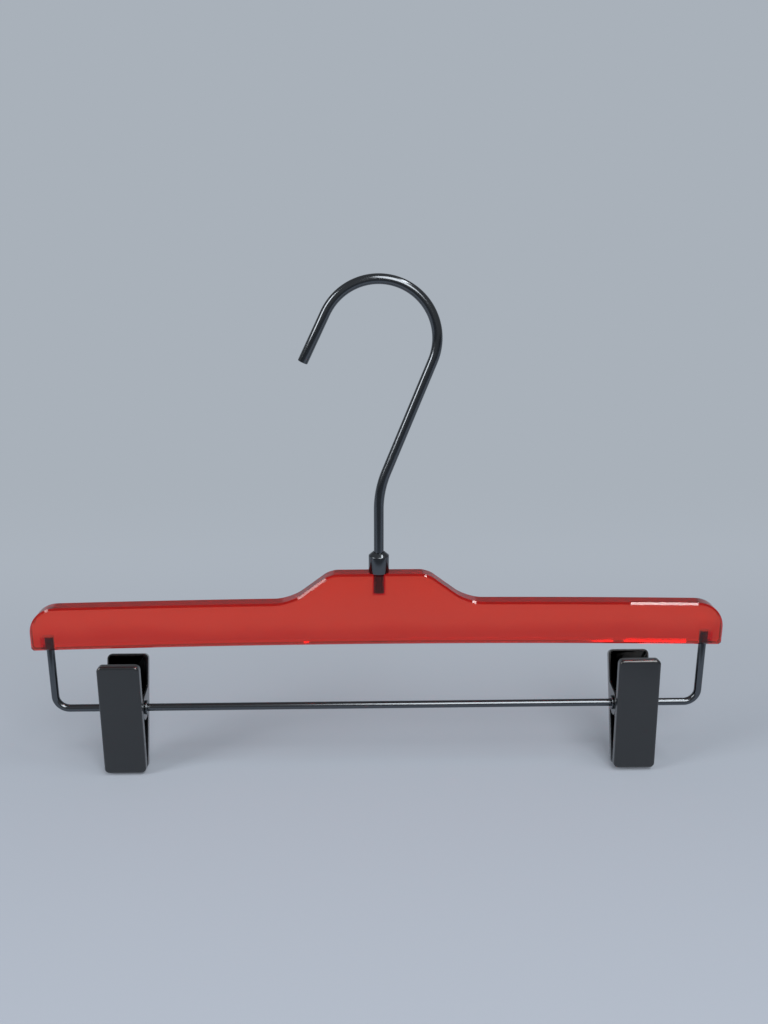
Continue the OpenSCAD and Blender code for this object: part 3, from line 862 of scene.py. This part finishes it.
class Clip:
    """Builds one clip about its pivot, then places it on the bar."""

    def __init__(self, side, sizes):
        self.side = side
        self.sizes = sizes
        low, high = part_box(side + "_front_jaw")
        self.half_width = (high.x - low.x) / 2
        self.pivot = Vector(JOINTS[side + "_clip_open"]["pos_m"])
        down = Vector(MOUNTS[side + "_grip"]["axis"])
        self.lean = math.atan2(-down.y, -down.z)
        inner = sizes.reach - sizes.rim
        tip = math.hypot(inner, sizes.lower)
        self.jaw_lean = math.atan(inner / sizes.lower) - math.asin(sizes.tip_gap / 2 / tip)
        self.to_bar = Matrix.Translation(self.pivot) @ Matrix.Rotation(-self.lean, 4, "X")

    def closed(self, which):
        """Turns a jaw drawn upright to where it closes. The back one is the front one seen in a mirror."""
        if which == "front":
            return Matrix.Rotation(self.jaw_lean, 4, "X")
        return Matrix.Rotation(-self.jaw_lean, 4, "X") @ Matrix.Scale(-1, 4, Y)

    def put(self, bm, turn=None):
        """Moves a mesh drawn about the pivot to its place on the bar."""
        bmesh.ops.transform(bm, matrix=self.to_bar @ (turn or Matrix()), verts=bm.verts)
        bmesh.ops.recalc_face_normals(bm, faces=bm.faces)
        return bm

    def tray(self):
        """The pressed tray: a face with rounded corners, drawn back at its edge over a soft bend."""
        s = self.sizes
        bm = bmesh.new()
        low, high = -s.lower, s.upper
        half = self.half_width
        corners = [(-half, low), (half, low), (half, high), (-half, high)]
        bm.faces.new([bm.verts.new((x, -s.reach, z)) for x, z in corners])
        bevelled(bm, list(bm.verts), s.corner, 8, "VERTICES")
        moved = drawn_out(bm, bm.faces[:1], (0, s.rim, 0))
        backs = [f for f in bm.faces if all(v in moved for v in f.verts)]
        bmesh.ops.delete(bm, geom=backs, context="FACES_ONLY")
        bmesh.ops.recalc_face_normals(bm, faces=bm.faces)
        fronts = [f for f in bm.faces if all(abs(v.co.y + s.reach) < MERGE / 2 for v in f.verts)]
        bevelled(bm, list(fronts[0].edges), s.bend, 6)
        bm.normal_update()
        if [f for f in bm.faces if len(f.verts) > 4][0].normal.y > 0:
            bmesh.ops.reverse_faces(bm, faces=bm.faces)
        bmesh.ops.solidify(bm, geom=list(bm.faces), thickness=s.sheet)
        return bm

    def ear(self, radius, depth, low, inner, outer):
        """An ear: a disc about the pivot, joined to its jaw by straight edges that leave it at a tangent. The
        lower edge goes to a height below the pivot, or straight back from the disc where that is nought."""
        bm = bmesh.new()
        top = Vector((-depth, self.sizes.ear_flare))
        foot = Vector((-depth, low))
        start = math.atan2(top.y, top.x) - math.acos(radius / top.length)
        stop = math.atan2(foot.y, foot.x) + math.acos(radius / foot.length) if low else -math.pi
        first = bm.verts.new((inner, radius * math.cos(start), radius * math.sin(start)))
        spun(bm, [first], Vector(), X, stop - start, 32)
        bm.faces.new(list(bm.verts) + [bm.verts.new((inner, *foot)), bm.verts.new((inner, *top))])
        for e in [e for e in bm.edges if not e.link_faces]:
            bm.edges.remove(e)
        drawn_out(bm, list(bm.faces), (outer - inner, 0, 0))
        bmesh.ops.recalc_face_normals(bm, faces=bm.faces)
        return bm

    def jaw(self, which):
        """A whole jaw: the back one's ears lie outside, the front one's inside, behind a notch in its rim."""
        s = self.sizes
        half = self.half_width
        across = (-half - OVERCUT, 0, 0), (half + OVERCUT, 0, 0)
        jaw = made_object(self.tray(), f"{self.side}_{which}_clip_jaw", "satin_jaw", 40)
        if which == "back":
            depth = s.reach - s.rim + EAR_ROOT
            ears = [self.ear(s.ear, depth, 0, x, x + s.sheet) for x in (-half, half - s.sheet)]
        else:
            notch = cylinder(s.ear + 2 * s.side_gap, *across, 96)
            cut_by(jaw, [made_object(notch, "notch", "satin_jaw")])
            inner_half = half - 2 * s.sheet - s.side_gap
            depth = s.reach - s.sheet + EAR_ROOT
            ears = [
                self.ear(s.ear - s.side_gap, depth, -s.ear_flare, x, x + s.sheet)
                for x in (-inner_half - s.sheet, inner_half)
            ]
        cut_by(jaw, [made_object(ear, "ear", "satin_jaw") for ear in ears], "UNION")
        hole = cylinder(s.rivet / 2 + s.run_gap, *across, 64)
        cut_by(jaw, [made_object(hole, "hole", "satin_jaw")])
        bm = bmesh.new()
        bm.from_mesh(jaw.data)
        bmesh.ops.remove_doubles(bm, verts=bm.verts, dist=MERGE)
        flat = math.radians(1)
        bmesh.ops.dissolve_limit(bm, angle_limit=flat, verts=bm.verts, edges=bm.edges)
        self.put(bm, self.closed(which))
        bm.to_mesh(jaw.data)
        bm.free()
        jaw.data.shade_smooth()
        jaw.data.set_sharp_from_angle(angle=math.radians(40))
        soft_edges(jaw, "sheared_edge", s.burr, 50)
        place(jaw, f"{self.side}_{which}", "satin_jaw", f"{self.side}_{which}_jaw")

    def rivet(self):
        """The tubular rivet with its two rolled rims."""
        s = self.sizes
        bore = bpy.context.scene.hanger_wire_sizes.bar_wire / 2 + s.run_gap
        half = self.half_width + s.run_gap
        rim = s.rivet_rim / 2
        thick = s.rivet_rim_height
        profile = [
            (bore, -half - thick),
            (rim, -half - thick),
            (rim, -half),
            (s.rivet / 2, -half),
            (s.rivet / 2, half),
            (rim, half),
            (rim, half + thick),
            (bore, half + thick),
        ]
        bm = self.put(turned(profile, RIVET_EDGE, axis=X))
        made = made_object(bm, self.side + "_rolled_rivet", "plated_collar")
        place(made, self.side + "_rivet", "rivet_metal", self.side + "_pivot_rivet")

    def spring(self):
        """The torsion spring, wound from its foot on the front jaw to its foot on the back one."""
        s = self.sizes
        lean = Matrix.Rotation(self.jaw_lean, 3, "X")
        inset = 1.8 * s.spring_wire  # from the jaw to where the leg turns down
        bend_radius = 0.9 * s.spring_wire
        foot = lean @ Vector((0, s.sheet - s.reach, s.spring_foot))
        corner = lean @ Vector((0, s.sheet - s.reach + inset, s.spring_foot))
        distance = math.hypot(corner.y, corner.z)
        start = math.atan2(corner.z, corner.y) + math.acos(s.spring_radius / distance)
        sweep = math.tau * s.spring_turns + math.pi - 2 * start
        length = s.spring_pitch * sweep / math.tau
        at = Vector((-length / 2, 0, 0))
        tangent = Vector((0, s.spring_radius * math.cos(start), s.spring_radius * math.sin(start)))
        inward = (corner - foot).normalized()
        down = (tangent - corner).normalized()
        bend = math.acos(inward.dot(down))
        cut = bend_radius * math.tan(bend / 2)
        side = (down - inward * down.dot(inward)).normalized()
        wire = Wire(at + foot, inward, s.spring_wire, 16)
        wire.straight((corner - foot).length - cut)
        wire.turn_towards(side, bend_radius, bend, 8)
        wire.straight((tangent - corner).length - cut)
        wire.bend(at, X, sweep, round(24 * sweep / math.tau), length)
        wire.straight((tangent - corner).length - cut)
        outward = Vector((0, inward.y, -inward.z))
        side = (outward - wire.heading * outward.dot(wire.heading)).normalized()
        wire.turn_towards(side, bend_radius, bend, 8)
        wire.straight((corner - foot).length - cut)
        bm = self.put(wire.close())
        made = made_object(bm, self.side + "_coil_spring", "spring_steel", 50)
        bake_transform(made)
        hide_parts(self.side + "_spring")

    def pad(self, which):
        """A rubber pad between a jaw's rims, ridged across where it grips."""
        s = self.sizes
        lean = Matrix.Rotation(self.jaw_lean, 3, "X")
        wall = s.sheet + s.side_gap
        half = self.half_width - wall
        low = wall - s.lower
        face = -(s.reach - s.sheet) + SEAT_GAP
        top = lean @ Vector((0, face, low + s.pad_height))
        bottom = lean @ Vector((0, face, low))
        lip = lean @ Vector((0, -(s.reach - s.rim), low))
        bm = bmesh.new()
        step = (top.z - lip.z) / (2 * s.pad_ridges)
        points = [top, bottom, lip]
        for i in range(2 * s.pad_ridges + 1):
            inset = s.run_gap + (s.pad_valley if i % 2 == 0 else 0)
            points.append(Vector((0, -inset, lip.z + i * step)))
        side = bm.faces.new([bm.verts.new((-half, p.y, p.z)) for p in points])
        drawn_out(bm, [side], (2 * half, 0, 0))
        bmesh.ops.recalc_face_normals(bm, faces=bm.faces)
        # The lower edges that run between the jaw's face and the ridges fit its round corners
        lowest = lip.z + s.run_gap
        behind = -s.run_gap - s.pad_valley - MERGE
        uprights = [
            e
            for e in bm.edges
            if all(v.co.z < lowest and v.co.y < behind for v in e.verts)
            and abs(e.verts[0].co.x - e.verts[1].co.x) < MERGE
        ]
        bevelled(bm, uprights, s.corner - wall, 4)
        self.put(bm, Matrix.Scale(-1, 4, Y) if which == "back" else Matrix())
        pad = made_object(bm, f"{self.side}_{which}_grip_pad", "pad_rubber", 30)
        soft_edges(pad, "moulded_edge", PAD_EDGE, 20)
        place(pad, f"{self.side}_{which}", "pad_rubber", f"{self.side}_{which}_pad")


class HANGER_OT_clips(Operator):
    """Press, wind and assemble both clips on the bar"""

    bl_idname = "hanger.clips"
    bl_label = "Clips"

    def execute(self, context):
        for side in SIDES:
            clip = Clip(side, context.scene.hanger_clip_sizes)
            for which in ("front", "back"):
                clip.jaw(which)
            clip.rivet()
            clip.spring()
            for which in ("front", "back"):
                clip.pad(which)
        return {"FINISHED"}


# A lamp's place and the point that it faces, its width and height in metres, and its power in watts
LAMPS = {
    "front_lamp": ((0.24, -0.76, 0.58), (0, 0, -0.1), 0.5, 0.76, 6.8),
    "right_lamp": ((0.495, -0.24, 0.88), (0.495, -0.24, 0), 0.13, 0.5, 2.6),
    "left_lamp": ((-0.82, -0.4, 0.35), (0, 0, -0.05), 0.34, 0.6, 4.2),
}


def soft_lamp(name, at, target, width, height, watts):
    """A rectangular studio lamp that faces a point."""
    data = bpy.data.lights.new(name, "AREA")
    data.shape = "RECTANGLE"
    data.size = width
    data.size_y = height
    data.energy = watts
    lamp = bpy.data.objects.new(name, data)
    lamp.location = at
    lamp.rotation_euler = (Vector(target) - Vector(at)).to_track_quat("-Z", "Y").to_euler()
    bpy.context.scene.collection.objects.link(lamp)


class HANGER_OT_stage(Operator):
    """Set up the floor and backdrop, the lamps, the sky and the camera"""

    bl_idname = "hanger.stage"
    bl_label = "Stage"

    def execute(self, context):
        stage = context.scene.hanger_stage
        self.backdrop()
        for name, lamp in LAMPS.items():
            soft_lamp(name, *lamp)
        self.sky()
        self.camera(stage)
        context.scene.view_settings.view_transform = "Standard"
        return {"FINISHED"}

    def backdrop(self):
        """A sheet of paper that lies under the clips and sweeps up behind the hanger."""
        floor_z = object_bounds()[0][2]
        width, front, back, sweep, height = 5.0, -1.2, 1.6, 0.4, 0.35
        bm = bmesh.new()
        edges = [bm.edges.new([bm.verts.new((x, front, floor_z)) for x in (-width / 2, width / 2)])]
        grown = bmesh.ops.extrude_edge_only(bm, edges=edges)["geom"]
        verts = only(BMVert, grown)
        bmesh.ops.translate(bm, verts=verts, vec=(0, back - front, 0))
        edges = [e for e in only(BMEdge, grown) if all(v in verts for v in e.verts)]
        centre = Vector((0, back, floor_z + sweep))
        last = spun(bm, verts + edges, centre, X, math.pi / 2, 24)
        grown = bmesh.ops.extrude_edge_only(bm, edges=only(BMEdge, last))["geom"]
        bmesh.ops.translate(bm, verts=only(BMVert, grown), vec=(0, 0, height))
        paper = made_object(bm, "paper_sweep", "studio_paper", 60)
        paper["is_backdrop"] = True

    def sky(self):
        """The room's even light."""
        world = bpy.data.worlds.new("studio")
        world.use_nodes = True
        background = world.node_tree.nodes["Background"]
        background.inputs["Color"].default_value = (*srgb(SKY), 1)
        background.inputs["Strength"].default_value = SKY_STRENGTH
        bpy.context.scene.world = world

    def camera(self, stage):
        """The camera of the photograph's view."""
        data = bpy.data.cameras.new("camera")
        data.sensor_fit = "VERTICAL"
        data.sensor_height = 36.0
        data.lens = stage.focal
        data.clip_start = 0.01
        camera = bpy.data.objects.new("camera", data)
        camera.location = stage.camera_at
        camera.rotation_euler = Euler((math.pi / 2 - stage.pitch, -stage.roll, -stage.yaw), "XYZ")
        bpy.context.scene.collection.objects.link(camera)
        bpy.context.scene.camera = camera


PIECES = (HANGER_OT_body, HANGER_OT_hook, HANGER_OT_fittings, HANGER_OT_bar, HANGER_OT_clips)
OPERATORS = (HANGER_OT_stage, *PIECES)


class HANGER_PT_panel(Panel):
    """Sizes, colours and the steps that build the hanger"""

    bl_idname = "HANGER_PT_panel"
    bl_label = "Trouser hanger"
    bl_space_type = "VIEW_3D"
    bl_region_type = "UI"
    bl_category = "Hanger"

    def draw(self, context):
        for operator in OPERATORS:
            self.layout.operator(operator.bl_idname)
        for name, group in GROUPS.items():
            box = self.layout.box()
            box.label(text=group.__doc__)
            values = getattr(context.scene, name)
            for key in group.__annotations__:
                box.prop(values, key)


def register():
    """Registers the classes and adds the groups to the scene."""
    for cls in (*GROUPS.values(), *OPERATORS, HANGER_PT_panel):
        bpy.utils.register_class(cls)
    for name, group in GROUPS.items():
        setattr(bpy.types.Scene, name, PointerProperty(type=group))


def unregister():
    """Undoes what register did."""
    for name in GROUPS:
        delattr(bpy.types.Scene, name)
    for cls in reversed((*GROUPS.values(), *OPERATORS, HANGER_PT_panel)):
        bpy.utils.unregister_class(cls)


def main():
    """Builds the whole hanger and its stage."""
    register()
    for operator in OPERATORS:
        group, name = operator.bl_idname.split(".")
        getattr(getattr(bpy.ops, group), name)()
    bpy.context.view_layer.update()


if __name__ == "__main__":
    main()
